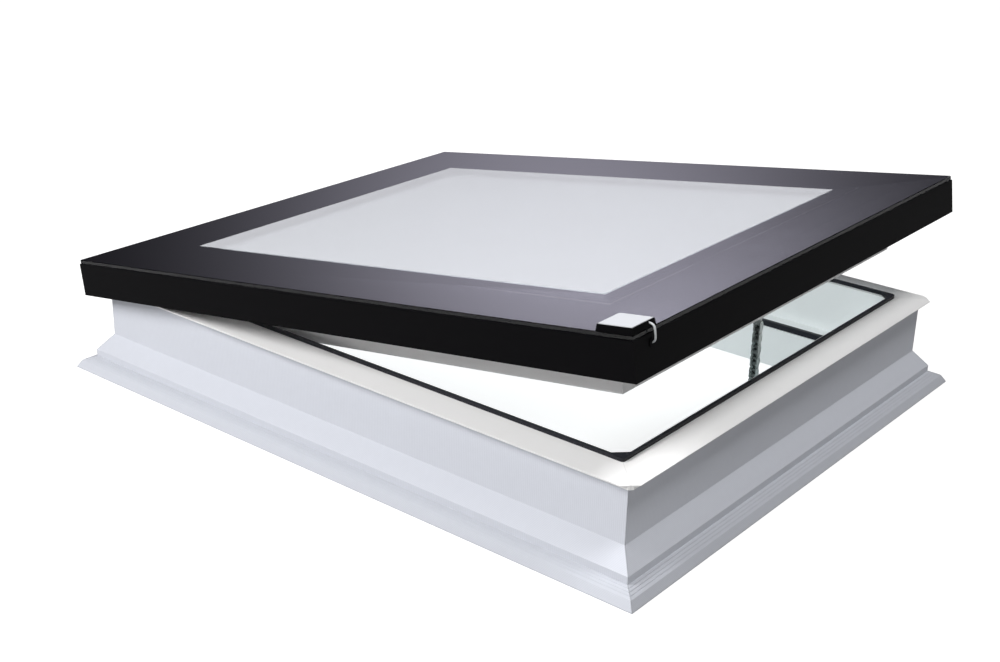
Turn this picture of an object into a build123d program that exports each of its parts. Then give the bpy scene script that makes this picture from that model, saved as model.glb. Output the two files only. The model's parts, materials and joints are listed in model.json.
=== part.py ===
"""Flat-roof skylight with an electric chain drive, modelled as it stands vented open.

Millimetres, +Z up. The origin is the bottom centre of the upstand. The opening side faces -Y and the
hinges are at +Y. A section is drawn with x as the inset from the outer edge and y as the height.
Everything on the sash is drawn for the closed sash and carried by its opening turn.
"""
import math
import os
from build123d import *

# Driving dimensions of the upstand
base_width = 909.0
base_depth = 1093.4
flange_toe = 1.5
flange_fold_inset = 6.9
flange_fold_height = 12.4
flange_crown = 0.8
step_inset = 23.9
flange_top = 19.8
step_top = 30.5
wall_inset = 45.4
chamfer_top = 57.4
upstand_skin = 3.0
upstand_inner_inset = 70.0
flange_line = 0.5

# Driving dimensions of the white frame
collar_inset = 27.9
collar_top = 147.0
collar_edge = 0.8
drip_inset = 34.0
drip_depth = 1.8
collar_snip = 17.0
lip_foot_inset = 74.8
lip_height = 150.0
rebate_inset = 85.0
ledge_height = 66.0
lining_inset = 137.0
frame_skin = 3.0
collar_thickness = 6.0
chamber_web = 2.5

# Seals
lip_seal_width = 4.4
lip_seal_height = 5.6
lip_seal_overhang = 0.4
lip_seal_corner = 5.0
lip_seal_weld = 17.0
lip_seal_edge = 0.4
seal_tongue_width = 2.4
seal_tongue_depth = 3.6
ledge_seal_width = 10.0
ledge_seal_height = 9.0
ledge_seal_corner = 4.0
ledge_seal_edge = 3.0
seal_gap = 0.5

# Sash
sash_margin_side = 15.0
sash_margin_end = 14.9
sash_bottom = 131.6
sash_open_angle = 8.947
cover_height = 51.6
cover_wall = 2.0
cover_return = 8.0
cover_flange = 40.0
cover_clip_inset = 14.0
cover_clip_height = 30.0
sash_shelf = 49.6
sash_skirt_inset = 75.0
sash_inner_inset = 128.0
sash_drop = 49.0
sash_skin = 3.0
seal_rib_width = 4.0
cleat_leg = 60.0
cleat_low = 20.0
cleat_high = 29.0

# Glazing
pane_setback = 1.0
outer_pane_thick = 6.0
pane_arris = 0.8
print_thick = 0.4
print_width = 135.0
glass_rebate_inset = 93.0
glass_rebate_floor = 13.0
glass_edge_gap = 2.0
glazing_seal_thick = 3.0
glazing_seal_width = 8.0
inner_pane_thick = 6.6
middle_pane_thick = 4.0
spacer_width = 7.0
spacer_setback = 4.0
inner_cavity = 12.0
tape_width = 18.0

# Hinges
hinge_inset = 40.0
hinge_height = 151.5
hinge_margin = 189.5
hinge_screw_spacing = 40.0
frame_screw_setback = 6.5
frame_screw_length = 4.5
sash_screw_reach = 15.0
knuckle_radius = 4.0
hinge_pin_radius = 2.0
hinge_length = 60.0
leaf_thick = 2.5
leaf_sunk = 1.0
frame_leaf_reach = 20.0
sash_leaf_reach = 28.0
leaf_web = 5.0

# Chain and its drive
chain_pitch = 9.0
chain_inset_on_sash = 96.5
chain_hang = 8.0
sprocket_height = 30.7
head_least = 8.8
link_sides = 8
pin_sides = 6
link_radius = 4.4
link_waist = 3.0
link_back = 5.6
inner_plate_in = 2.2
inner_plate_out = 3.8
outer_plate_in = 4.0
outer_plate_out = 5.5
chain_pin_radius = 1.5
pivot_pin_radius = 2.0
bracket_half = 24.0
bracket_depth = 22.0
bracket_thick = 2.5
bracket_screw_setback = 7.0
cheek_thick = 2.0
head_half_width = 3.4
head_tongue = 3.7
head_eye_radius = 4.2
sprocket_teeth = 8
sprocket_width = 3.6
sprocket_tip = 1.3
sprocket_sides = 32
shaft_radius = 3.0
housing_width = 42.0
housing_low = 8.0
housing_high = 58.0
housing_wall = 2.5
housing_length = 420.0
end_cap_thick = 4.0
motor_radius = 14.0
motor_length = 96.0
saddle_spread = 150.0
saddle_width = 22.0
saddle_ear = 3.0
saddle_ear_height = 22.0
guide_bore = 12.6
guide_wall = 2.0
guide_flange_thick = 1.6
inlet_radius = 8.0
inlet_height = 20.0
inlet_from_corner = 57.5
inlet_collar = 3.0

# Rain sensor and its lead
sensor_from_side = 1.4
sensor_from_front = 1.4
sensor_length = 52.0
sensor_breadth = 49.0
sensor_height = 8.0
sensor_lean = 1.0
sensor_side_lean = 2.4
sensor_rim = 1.1
sensor_plate_thick = 0.8
lead_radius = 1.35
lead_sides = 12
lead_exit_side = 37.5
lead_exit_height = 5.4
lead_hole_side = 37.0
lead_hole_height = 39.8
lead_stand_off = 4.7
lead_bore_depth = 6.0
lead_bore_gap = 0.2
grommet_radius = 4.4
grommet_flange = 5.8

# Clearances, and the sides of small round pieces, which are drawn as polygons to keep them light
fit = 0.2
running = 0.06
press = 0.3
round_sides = 16

# Screws
screw_radius = 2.0
screw_sides = 8
screw_head_radius = 3.8
screw_head_height = 2.0
screw_length = 12.0

os.makedirs("parts", exist_ok=True)

# Places that follow from the driving dimensions
sash_width = base_width - 2 * sash_margin_side
sash_depth = base_depth - 2 * sash_margin_end
sash_inset = sash_margin_side
hinge_spread = sash_width / 2 - hinge_margin
screw_hole_radius = (screw_radius + running) / math.cos(math.pi / screw_sides)
hinge_y = sash_depth / 2 - hinge_inset
wall_top = collar_top - collar_thickness
pane_bottom = cover_height + print_thick
pane_top = pane_bottom + outer_pane_thick
sash_step = hinge_height + knuckle_radius + seal_gap - sash_bottom
sash_opening = (
    Pos(0, hinge_y, hinge_height) * Rot(X=-sash_open_angle) * Pos(0, -hinge_y, -hinge_height)
)


def as_fixed(plane):
    """A plane of the frame stays where it is drawn."""
    return plane


def on_sash(plane):
    """Carries a plane of the closed sash to the sash as it stands open."""
    return Plane(sash_opening * plane.location)


def side_plane(side, width, depth, height=0.0):
    """Section plane of one side of a rectangle: x runs inwards, y up and z along the side."""
    inward = {"front": (0, 1, 0), "back": (0, -1, 0), "left": (1, 0, 0), "right": (-1, 0, 0)}[side]
    along = {"front": (1, 0, 0), "back": (-1, 0, 0), "left": (0, -1, 0), "right": (0, 1, 0)}[side]
    origin = (-inward[0] * width / 2, -inward[1] * depth / 2, height)
    return Plane(origin=origin, x_dir=inward, z_dir=along)


def mitred_bar(section, side, width, depth, height=0.0, carry=as_fixed, snip=None):
    """One side of a welded frame, cut to 45 degrees; a snip is the inset and leg of a cut corner."""
    plane = side_plane(side, width, depth, height)
    half = (width if side in ("front", "back") else depth) / 2
    with BuildPart() as bar:
        with BuildSketch(carry(plane)):
            add(section.sketch)
        extrude(amount=half, both=True)
        for end in (1, -1):
            along = plane.z_dir * end
            corner = plane.origin + along * half
            mitre = Plane(origin=corner, z_dir=along + plane.x_dir)
            split(bisect_by=carry(mitre), keep=Keep.BOTTOM)
            if snip is not None:
                inset, leg = snip
                tip = corner + (plane.x_dir - along) * inset
                cut = Plane(origin=tip - along * leg, z_dir=along - plane.x_dir)
                split(bisect_by=carry(cut), keep=Keep.BOTTOM)
    return bar


def flat_ring(width, depth, outer, inner, low, high, carry=as_fixed, corner=0.0):
    """A flat closed ring between two insets, with rounded corners if a radius is given."""
    with BuildPart() as ring:
        with BuildSketch(carry(Plane.XY.offset(low))):
            if corner:
                RectangleRounded(width - 2 * outer, depth - 2 * outer, corner)
            else:
                Rectangle(width - 2 * outer, depth - 2 * outer)
            Rectangle(width - 2 * inner, depth - 2 * inner, mode=Mode.SUBTRACT)
        extrude(amount=high - low)
    return ring


def save(piece, name):
    """Labels a finished piece and writes it under its own name."""
    piece.part.label = name
    export_step(piece.part, f"parts/{name}.step")


sides = ("front", "back", "left", "right")

# Upstand: hollow grey profiles with a flared foot, a step, a chamfer and an upright wall
with BuildSketch() as upstand_outline:
    with BuildLine():
        Polyline((0, 0), (0, flange_toe), (flange_fold_inset, flange_fold_height))
        flange = SagittaArc(
            (flange_fold_inset, flange_fold_height), (step_inset, flange_top), flange_crown
        )
        Polyline(
            (step_inset, flange_top),
            (step_inset, step_top),
            (wall_inset, chamfer_top),
            (wall_inset, wall_top),
            (upstand_inner_inset, wall_top),
            (upstand_inner_inset, 0),
            (0, 0),
        )
    make_face()
with BuildSketch() as upstand_section:
    add(upstand_outline.sketch)
    offset(upstand_outline.sketch, amount=-upstand_skin, kind=Kind.INTERSECTION, mode=Mode.SUBTRACT)
    with Locations(flange @ 0.25, flange @ 0.5, flange @ 0.75):
        Rectangle(2 * flange_line, 2 * flange_line, rotation=45, mode=Mode.SUBTRACT)
with BuildSketch() as core_section:
    offset(upstand_outline.sketch, amount=-(upstand_skin + press), kind=Kind.INTERSECTION)

for side in sides:
    save(mitred_bar(upstand_section, side, base_width, base_depth), f"upstand_{side}")
    save(mitred_bar(core_section, side, base_width, base_depth), f"insulation_{side}")

# White frame: collar over the upstand, lip, sash rebate, ledge and inner lining
with BuildSketch() as frame_outline:
    with BuildLine():
        Polyline(
            (upstand_inner_inset, 0),
            (lining_inset, 0),
            (lining_inset, ledge_height),
            (rebate_inset, ledge_height),
            (rebate_inset, lip_height),
            (lip_foot_inset, lip_height),
            (collar_inset, collar_top),
            (collar_inset, collar_top - collar_edge),
            (drip_inset, collar_top - drip_depth),
            (drip_inset, wall_top),
            (upstand_inner_inset, wall_top),
            close=True,
        )
    make_face()
lip_seal_inset = lip_foot_inset - lip_seal_overhang
tongue_inset = lip_seal_inset + lip_seal_width / 2
chamber_low = frame_skin
chamber_high = ledge_height - frame_skin
chamber_outer = upstand_inner_inset + frame_skin
chamber_inner = lining_inset - frame_skin
with BuildSketch() as front_frame_section:
    add(frame_outline.sketch)
    with Locations(((chamber_outer + chamber_inner) / 2, (chamber_low + chamber_high) / 2)):
        Rectangle(chamber_inner - chamber_outer, chamber_high - chamber_low, mode=Mode.SUBTRACT)
    upper_low = ledge_height + frame_skin
    upper_high = wall_top - frame_skin
    upper_inner = rebate_inset - frame_skin
    with Locations(((chamber_outer + upper_inner) / 2, (upper_low + upper_high) / 2)):
        Rectangle(upper_inner - chamber_outer, upper_high - upper_low, mode=Mode.SUBTRACT)
    with Locations((tongue_inset, lip_height - (seal_tongue_depth + fit) / 2)):
        Rectangle(seal_tongue_width + 2 * fit, seal_tongue_depth + fit, mode=Mode.SUBTRACT)
with BuildSketch() as frame_section:
    add(front_frame_section.sketch)
    for share in (1 / 3, 2 / 3):
        web_inset = chamber_outer + share * (chamber_inner - chamber_outer)
        with Locations((web_inset, (chamber_low + chamber_high) / 2)):
            Rectangle(chamber_web, chamber_high - chamber_low)

# Where the chain leaves the ledge, under its pivot on the open sash
pivot_closed = Plane(
    origin=(0, chain_inset_on_sash - sash_depth / 2, sash_bottom - sash_drop - chain_hang)
)
pivot_open = on_sash(pivot_closed).origin
chain_y = pivot_open.Y
sprocket_radius = chain_pitch / (2 * math.sin(math.pi / sprocket_teeth))
chain_drop = pivot_open.Z - sprocket_height
links_to_sprocket = math.floor((chain_drop - head_least) / chain_pitch)
head_length = chain_drop - links_to_sprocket * chain_pitch
chain_top = pivot_open.Z - head_length
sprocket_z = sprocket_height
sprocket_x = -sprocket_radius
guide_outer = guide_bore + 2 * guide_wall
saddle_screw_y = chain_y - housing_width / 2 - saddle_ear - screw_head_radius - 1

frame_bars = {}
for side in sides:
    section = front_frame_section if side == "front" else frame_section
    frame_bars[side] = mitred_bar(
        section, side, base_width, base_depth, snip=(collar_inset, collar_snip)
    )

with BuildPart() as frame_front:
    add(frame_bars["front"].part)
    with BuildSketch(Plane.XY.offset(chamber_high)):
        with Locations((0, chain_y)):
            Rectangle(guide_outer + 2 * fit, guide_outer + 2 * fit)
    extrude(amount=frame_skin, mode=Mode.SUBTRACT)
    with BuildSketch(Plane.XY):
        with Locations((-saddle_spread, saddle_screw_y), (saddle_spread, saddle_screw_y)):
            RegularPolygon(screw_hole_radius, screw_sides)
    extrude(amount=chamber_low, mode=Mode.SUBTRACT)
    inlet_y = -base_depth / 2 + lining_inset
    inlet_x = base_width / 2 - lining_inset - inlet_from_corner
    with BuildSketch(Plane(origin=(inlet_x, inlet_y, inlet_height), z_dir=(0, 1, 0))):
        RegularPolygon(inlet_radius, round_sides, major_radius=False)
    extrude(amount=-frame_skin, mode=Mode.SUBTRACT)

pocket_floor = collar_top - leaf_sunk - leaf_thick
leaf_rear = hinge_y + frame_leaf_reach
leaf_front = hinge_y - knuckle_radius - 1
sash_leaf_front = hinge_y - sash_leaf_reach
sash_leaf_rear = hinge_y + knuckle_radius + 1
screw_columns = [
    x * hinge_spread + dx * hinge_screw_spacing / 2 for x in (-1, 1) for dx in (-1, 1)
]
frame_screw_spots = [(x, leaf_rear - frame_screw_setback) for x in screw_columns]
sash_screw_spots = [(x, hinge_y - sash_screw_reach) for x in screw_columns]
with BuildPart() as frame_back:
    add(frame_bars["back"].part)
    with BuildSketch(Plane.XY.offset(pocket_floor)):
        with Locations(*[(x * hinge_spread, (leaf_rear + leaf_front) / 2) for x in (-1, 1)]):
            Rectangle(hinge_length + 2 * fit, leaf_rear - leaf_front + 2 * fit)
    extrude(amount=lip_height, mode=Mode.SUBTRACT)
    with BuildSketch(Plane.XY.offset(pocket_floor)):
        with Locations(*frame_screw_spots):
            RegularPolygon(screw_hole_radius, screw_sides)
    extrude(amount=wall_top - pocket_floor, mode=Mode.SUBTRACT)

save(frame_front, "frame_front")
save(frame_back, "frame_back")
save(frame_bars["left"], "frame_left")
save(frame_bars["right"], "frame_right")

# Black rubber seal on the lip, rounded outside and thickened inside at its welded corners
seal_inner = lip_seal_inset + lip_seal_width
with BuildSketch() as seal_opening:
    Rectangle(base_width - 2 * seal_inner, base_depth - 2 * seal_inner)
    chamfer(seal_opening.vertices(), lip_seal_weld)
with BuildPart() as lip_seal:
    with BuildSketch(Plane.XY.offset(lip_height)):
        RectangleRounded(
            base_width - 2 * lip_seal_inset, base_depth - 2 * lip_seal_inset, lip_seal_corner
        )
        add(seal_opening.sketch, mode=Mode.SUBTRACT)
    extrude(amount=lip_seal_height)
    chamfer(lip_seal.faces().sort_by(Axis.Z)[-1].edges(), lip_seal_edge)
    with BuildSketch(Plane.XY.offset(lip_height - seal_tongue_depth)):
        long_run = base_depth - 2 * (tongue_inset + 2 * lip_seal_weld)
        short_run = base_width - 2 * (tongue_inset + 2 * lip_seal_weld)
        for x in (-1, 1):
            with Locations((x * (base_width / 2 - tongue_inset), 0)):
                Rectangle(seal_tongue_width, long_run)
        for y in (-1, 1):
            with Locations((0, y * (base_depth / 2 - tongue_inset))):
                Rectangle(short_run, seal_tongue_width)
    extrude(amount=seal_tongue_depth)
save(lip_seal, "lip_seal")

# Black rubber seal along the inner edge of the ledge
ledge_seal_inset = chamber_inner - ledge_seal_width
ledge_seal_end = ledge_seal_inset + ledge_seal_width
guide_flange = 2 * (ledge_seal_inset - base_depth / 2 - seal_gap - chain_y)
with BuildPart() as ledge_seal:
    with BuildSketch(Plane.XY.offset(ledge_height)):
        RectangleRounded(
            base_width - 2 * ledge_seal_inset, base_depth - 2 * ledge_seal_inset, ledge_seal_corner
        )
        Rectangle(
            base_width - 2 * ledge_seal_end, base_depth - 2 * ledge_seal_end, mode=Mode.SUBTRACT
        )
    extrude(amount=ledge_seal_height)
    top_edges = ledge_seal.faces().sort_by(Axis.Z)[-1].outer_wire().edges()
    chamfer(top_edges, ledge_seal_edge)
save(ledge_seal, "ledge_seal")

# Sash covers: black aluminium angle with a return at the foot and a clip to the white profile
with BuildSketch() as cover_section:
    with BuildLine():
        Polyline(
            (0, 0),
            (cover_return, 0),
            (cover_return, cover_wall),
            (cover_wall, cover_wall),
            (cover_wall, cover_clip_height),
            (cover_clip_inset, cover_clip_height),
            (cover_clip_inset, cover_clip_height + cover_wall),
            (cover_wall, cover_clip_height + cover_wall),
            (cover_wall, sash_shelf),
            (cover_flange, sash_shelf),
            (cover_flange, cover_height),
            (0, cover_height),
            close=True,
        )
    make_face()

# Sash frame: white profile that carries the glass and drops into the rebate
with BuildSketch() as sash_section:
    with BuildLine():
        Polyline(
            (sash_skirt_inset, -sash_drop),
            (sash_inner_inset, -sash_drop),
            (sash_inner_inset, glass_rebate_floor),
            (glass_rebate_inset, glass_rebate_floor),
            (glass_rebate_inset, sash_shelf),
            (cover_clip_inset, sash_shelf),
            (cover_clip_inset, sash_step),
            (sash_skirt_inset, sash_step),
            close=True,
        )
    make_face()
    for corner_inset in (sash_skirt_inset, sash_inner_inset):
        fillet(sash_section.vertices().sort_by_distance((corner_inset, -sash_drop))[0], 3)
    rib_inset = ledge_seal_inset + ledge_seal_width / 2 - sash_inset
    rib_low = ledge_height + ledge_seal_height + seal_gap - sash_bottom
    with Locations((rib_inset, (rib_low - sash_drop) / 2)):
        Rectangle(seal_rib_width, -sash_drop - rib_low)
    lower_low = sash_skin - sash_drop
    lower_high = glass_rebate_floor - sash_skin
    lower_outer = sash_skirt_inset + sash_skin
    lower_inner = sash_inner_inset - sash_skin
    with Locations(((lower_outer + lower_inner) / 2, (lower_low + lower_high) / 2)):
        Rectangle(lower_inner - lower_outer, lower_high - lower_low, mode=Mode.SUBTRACT)
    with Locations(((lower_outer + lower_inner) / 2, (lower_low + lower_high) / 2)):
        Rectangle(chamber_web, lower_high - lower_low)
    shelf_low = sash_step + sash_skin
    shelf_high = sash_shelf - sash_skin
    shelf_outer = cover_clip_inset + sash_skin
    shelf_inner = glass_rebate_inset - sash_skin
    with Locations(((shelf_outer + shelf_inner) / 2, (shelf_low + shelf_high) / 2)):
        Rectangle(shelf_inner - shelf_outer, shelf_high - shelf_low, mode=Mode.SUBTRACT)
    with Locations(((shelf_outer + shelf_inner) / 2, (shelf_low + shelf_high) / 2)):
        Rectangle(chamber_web, shelf_high - shelf_low)

covers = {}
sash_bars = {}
for side in sides:
    covers[side] = mitred_bar(
        cover_section, side, sash_width, sash_depth, sash_bottom, carry=on_sash
    )
    sash_bars[side] = mitred_bar(
        sash_section, side, sash_width, sash_depth, sash_bottom, carry=on_sash
    )

lead_hole_x = -sash_width / 2 + lead_hole_side
lead_hole_z = sash_bottom + lead_hole_height
front_face_y = -sash_depth / 2
with BuildPart() as sash_cover_front:
    add(covers["front"].part)
    with BuildSketch(on_sash(Plane(origin=(lead_hole_x, front_face_y, lead_hole_z), z_dir=(0, 1, 0)))):
        RegularPolygon(grommet_radius, round_sides, major_radius=False)
    extrude(amount=cover_wall, mode=Mode.SUBTRACT)
save(sash_cover_front, "sash_cover_front")
for side in sides[1:]:
    save(covers[side], f"sash_cover_{side}")

sash_leaf_low = hinge_height + knuckle_radius + seal_gap
with BuildPart() as sash_frame_back:
    add(sash_bars["back"].part)
    with BuildSketch(on_sash(Plane.XY.offset(sash_leaf_low))):
        with Locations(
            *[(x * hinge_spread, (sash_leaf_rear + sash_leaf_front) / 2) for x in (-1, 1)]
        ):
            Rectangle(hinge_length + 2 * fit, sash_leaf_rear - sash_leaf_front + 2 * fit)
    extrude(amount=leaf_thick, mode=Mode.SUBTRACT)
    with BuildSketch(on_sash(Plane.XY.offset(sash_leaf_low + leaf_thick))):
        with Locations(*sash_screw_spots):
            RegularPolygon(screw_hole_radius, screw_sides)
    extrude(amount=screw_length, mode=Mode.SUBTRACT)
save(sash_frame_back, "sash_frame_back")

sash_floor = sash_bottom - sash_drop
bracket_y = pivot_closed.origin.Y
bracket_screw_spots = [(x * (bracket_half - bracket_screw_setback), bracket_y) for x in (-1, 1)]
with BuildPart() as sash_frame_front:
    add(sash_bars["front"].part)
    with BuildSketch(on_sash(Plane.XY.offset(sash_floor))):
        with Locations(*bracket_screw_spots):
            RegularPolygon(screw_hole_radius, screw_sides)
    extrude(amount=screw_length, mode=Mode.SUBTRACT)
save(sash_frame_front, "sash_frame_front")
save(sash_bars["left"], "sash_frame_left")
save(sash_bars["right"], "sash_frame_right")

# Corner cleats inside the covers
with BuildPart() as corner_cleats:
    with BuildSketch(on_sash(Plane.XY.offset(sash_bottom + cleat_low))):
        cleat_outer = cover_wall + fit
        cleat_inner = cover_clip_inset - fit
        Rectangle(sash_width - 2 * cleat_outer, sash_depth - 2 * cleat_outer)
        Rectangle(sash_width - 2 * cleat_inner, sash_depth - 2 * cleat_inner, mode=Mode.SUBTRACT)
        Rectangle(sash_width, sash_depth - 2 * cleat_leg, mode=Mode.SUBTRACT)
        Rectangle(sash_width - 2 * cleat_leg, sash_depth, mode=Mode.SUBTRACT)
    extrude(amount=cleat_high - cleat_low)
save(corner_cleats, "corner_cleats")

# Glazing: a large outer pane that covers the sash, and a sealed unit in the rebate below it
pane_low = sash_bottom + pane_bottom
with BuildPart() as outer_pane:
    with BuildSketch(on_sash(Plane.XY.offset(pane_low))):
        RectangleRounded(sash_width - 2 * pane_setback, sash_depth - 2 * pane_setback, 2)
    extrude(amount=outer_pane_thick)
    top_face = outer_pane.faces().sort_by(Axis.Z)[-1]
    chamfer(top_face.edges(), pane_arris)
save(outer_pane, "outer_pane")

border = flat_ring(
    sash_width, sash_depth, pane_setback + pane_arris, print_width,
    sash_bottom + cover_height, pane_low, on_sash, corner=2,
)
save(border, "printed_border")

glass_inset = glass_rebate_inset + glass_edge_gap
inner_pane_low = sash_bottom + glass_rebate_floor + glazing_seal_thick
inner_pane_high = inner_pane_low + inner_pane_thick
middle_pane_low = inner_pane_high + inner_cavity
middle_pane_high = middle_pane_low + middle_pane_thick
border_low = sash_bottom + cover_height
spacer_inset = glass_inset + spacer_setback
for name, low, high in (
    ("inner_pane", inner_pane_low, inner_pane_high),
    ("middle_pane", middle_pane_low, middle_pane_high),
):
    with BuildPart() as pane:
        with BuildSketch(on_sash(Plane.XY.offset(low))):
            Rectangle(sash_width - 2 * glass_inset, sash_depth - 2 * glass_inset)
        extrude(amount=high - low)
    save(pane, name)
for name, low, high in (
    ("inner", inner_pane_high, middle_pane_low),
    ("outer", middle_pane_high, border_low),
):
    spacer_end = spacer_inset + spacer_width
    spacer = flat_ring(sash_width, sash_depth, spacer_inset, spacer_end, low, high, on_sash)
    save(spacer, f"glass_spacer_{name}")
with BuildPart() as edge_sealant:
    for low, high in ((inner_pane_high, middle_pane_low), (middle_pane_high, border_low)):
        add(flat_ring(sash_width, sash_depth, glass_inset, spacer_inset, low, high, on_sash).part)
save(edge_sealant, "edge_sealant")

seal_outer = sash_inner_inset - glazing_seal_width - 2
glazing_seal = flat_ring(
    sash_width, sash_depth, seal_outer, seal_outer + glazing_seal_width,
    sash_bottom + glass_rebate_floor, inner_pane_low, on_sash,
)
save(glazing_seal, "glazing_seal")
tape_inset = cover_flange + 2
glazing_tape = flat_ring(
    sash_width, sash_depth, tape_inset, tape_inset + tape_width,
    sash_bottom + sash_shelf, border_low, on_sash,
)
save(glazing_tape, "glazing_tape")

# Hinges: a leaf on the collar with two knuckles, a leaf under the sash with one, and a pin
knuckle_third = hinge_length / 3
for side, x in (("left", -hinge_spread), ("right", hinge_spread)):
    knuckle_plane = Plane(origin=(x, hinge_y, hinge_height), x_dir=(0, 1, 0), z_dir=(1, 0, 0))
    leaf_base = Plane.XY.offset(pocket_floor)
    with BuildPart() as frame_leaf:
        with BuildSketch(leaf_base):
            with Locations((x, (leaf_rear + leaf_front) / 2)):
                Rectangle(hinge_length, leaf_rear - leaf_front)
        extrude(amount=leaf_thick)
        with BuildSketch(knuckle_plane):
            RegularPolygon(knuckle_radius, round_sides)
            with Locations((0, (pocket_floor + leaf_thick / 2 - hinge_height) / 2)):
                Rectangle(leaf_web, hinge_height - pocket_floor - leaf_thick / 2)
        extrude(amount=hinge_length / 2, both=True)
        with BuildSketch(Plane.XY.offset(pocket_floor + leaf_thick)):
            with Locations((x, hinge_y)):
                Rectangle(knuckle_third + 2 * fit, 2 * knuckle_radius + 2)
        extrude(amount=2 * knuckle_radius + 2, mode=Mode.SUBTRACT)
        with BuildSketch(knuckle_plane):
            RegularPolygon(hinge_pin_radius + running, round_sides, major_radius=False)
        extrude(amount=hinge_length / 2, both=True, mode=Mode.SUBTRACT)
        with BuildSketch(leaf_base):
            with Locations(*[spot for spot in frame_screw_spots if spot[0] * x > 0]):
                RegularPolygon(screw_hole_radius, screw_sides)
        extrude(amount=leaf_thick, mode=Mode.SUBTRACT)
    save(frame_leaf, f"hinge_frame_leaf_{side}")

    sash_knuckle_plane = on_sash(knuckle_plane)
    with BuildPart() as sash_leaf:
        with BuildSketch(on_sash(Plane.XY.offset(sash_leaf_low))):
            with Locations((x, (sash_leaf_rear + sash_leaf_front) / 2)):
                Rectangle(hinge_length, sash_leaf_rear - sash_leaf_front)
        extrude(amount=leaf_thick)
        with BuildSketch(sash_knuckle_plane):
            RegularPolygon(knuckle_radius, round_sides)
            with Locations((0, (knuckle_radius + seal_gap) / 2)):
                Rectangle(leaf_web, knuckle_radius + seal_gap)
        extrude(amount=knuckle_third / 2 - fit, both=True)
        with BuildSketch(sash_knuckle_plane):
            RegularPolygon(hinge_pin_radius + running, round_sides, major_radius=False)
        extrude(amount=knuckle_third, both=True, mode=Mode.SUBTRACT)
        with BuildSketch(on_sash(Plane.XY.offset(sash_leaf_low))):
            with Locations(*[spot for spot in sash_screw_spots if spot[0] * x > 0]):
                RegularPolygon(screw_hole_radius, screw_sides)
        extrude(amount=leaf_thick, mode=Mode.SUBTRACT)
    save(sash_leaf, f"hinge_sash_leaf_{side}")

with BuildPart() as hinge_pins:
    for x in (-hinge_spread, hinge_spread):
        with BuildSketch(Plane(origin=(x, hinge_y, hinge_height), z_dir=(1, 0, 0))):
            RegularPolygon(hinge_pin_radius, round_sides)
    extrude(amount=hinge_length / 2, both=True)
save(hinge_pins, "hinge_pins")


def screws(spots, seat, length, carry=as_fixed):
    """Pan-head screws seated at one height; a positive length goes up, a negative one down."""
    with BuildPart() as group:
        with BuildSketch(carry(Plane.XY.offset(seat))):
            with Locations(*spots):
                RegularPolygon(screw_radius, screw_sides)
        extrude(amount=length)
        with BuildSketch(carry(Plane.XY.offset(seat))):
            with Locations(*spots):
                RegularPolygon(screw_head_radius, screw_sides)
        extrude(amount=-math.copysign(screw_head_height, length))
    return group


save(
    screws(frame_screw_spots, pocket_floor + leaf_thick, -frame_screw_length), "hinge_frame_screws"
)
save(screws(sash_screw_spots, sash_leaf_low, screw_length - 1, on_sash), "hinge_sash_screws")

# Bracket on the sash, its screws and the pin that holds the head of the chain
cheek_in = head_half_width + fit
with BuildPart() as chain_bracket:
    with BuildSketch(on_sash(Plane.XY.offset(sash_floor))):
        with Locations((0, bracket_y)):
            Rectangle(2 * bracket_half, bracket_depth)
        with Locations(*bracket_screw_spots):
            RegularPolygon(screw_hole_radius, screw_sides, mode=Mode.SUBTRACT)
    extrude(amount=-bracket_thick)
    for x in (-1, 1):
        cheek_face = Plane(
            origin=(x * cheek_in, bracket_y, sash_floor - bracket_thick),
            x_dir=(0, 1, 0),
            z_dir=(1, 0, 0),
        )
        with BuildSketch(on_sash(cheek_face)):
            drop = bracket_thick - chain_hang
            with Locations((0, drop / 2)):
                Rectangle(2 * link_radius, -drop)
            with Locations((0, drop)):
                RegularPolygon(link_radius, round_sides)
                RegularPolygon(
                    pivot_pin_radius + running, round_sides, major_radius=False, mode=Mode.SUBTRACT
                )
        extrude(amount=x * cheek_thick)
save(chain_bracket, "chain_bracket")
save(
    screws(bracket_screw_spots, sash_floor - bracket_thick, screw_length - 1, on_sash),
    "chain_bracket_screws",
)
with BuildPart() as chain_pivot_pin:
    with BuildSketch(on_sash(Plane(origin=pivot_closed.origin, z_dir=(1, 0, 0)))):
        RegularPolygon(pivot_pin_radius, round_sides)
    extrude(amount=cheek_in + cheek_thick + 0.6, both=True)
save(chain_pivot_pin, "chain_pivot_pin")

# Head of the chain: an eye across the sash pin, and a tongue between the first link's plates
with BuildPart() as chain_head:
    with BuildSketch(Plane(origin=pivot_open, x_dir=(0, 1, 0), z_dir=(1, 0, 0))):
        RegularPolygon(head_eye_radius, round_sides)
        with Locations((0, -head_length / 2)):
            Rectangle(2 * head_tongue, head_length)
        RegularPolygon(
                    pivot_pin_radius + running, round_sides, major_radius=False, mode=Mode.SUBTRACT
                )
    extrude(amount=head_half_width, both=True)
    with BuildSketch(Plane(origin=(0, chain_y, chain_top), x_dir=(1, 0, 0), z_dir=(0, -1, 0))):
        RegularPolygon(head_half_width, round_sides)
    extrude(amount=head_tongue, both=True)
    with BuildSketch(Plane(origin=(0, chain_y, chain_top), x_dir=(1, 0, 0), z_dir=(0, -1, 0))):
        RegularPolygon(chain_pin_radius + running, round_sides, major_radius=False)
    extrude(amount=head_tongue, both=True, mode=Mode.SUBTRACT)
save(chain_head, "chain_head")


def link_plane(pin, next_pin, y):
    """Plane of a link plate: x runs along the link and y away from its back."""
    along = Vector(next_pin[0] - pin[0], 0, next_pin[1] - pin[1]).normalized()
    return Plane(origin=(pin[0], y, pin[1]), x_dir=along, z_dir=(0, -1, 0))


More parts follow.
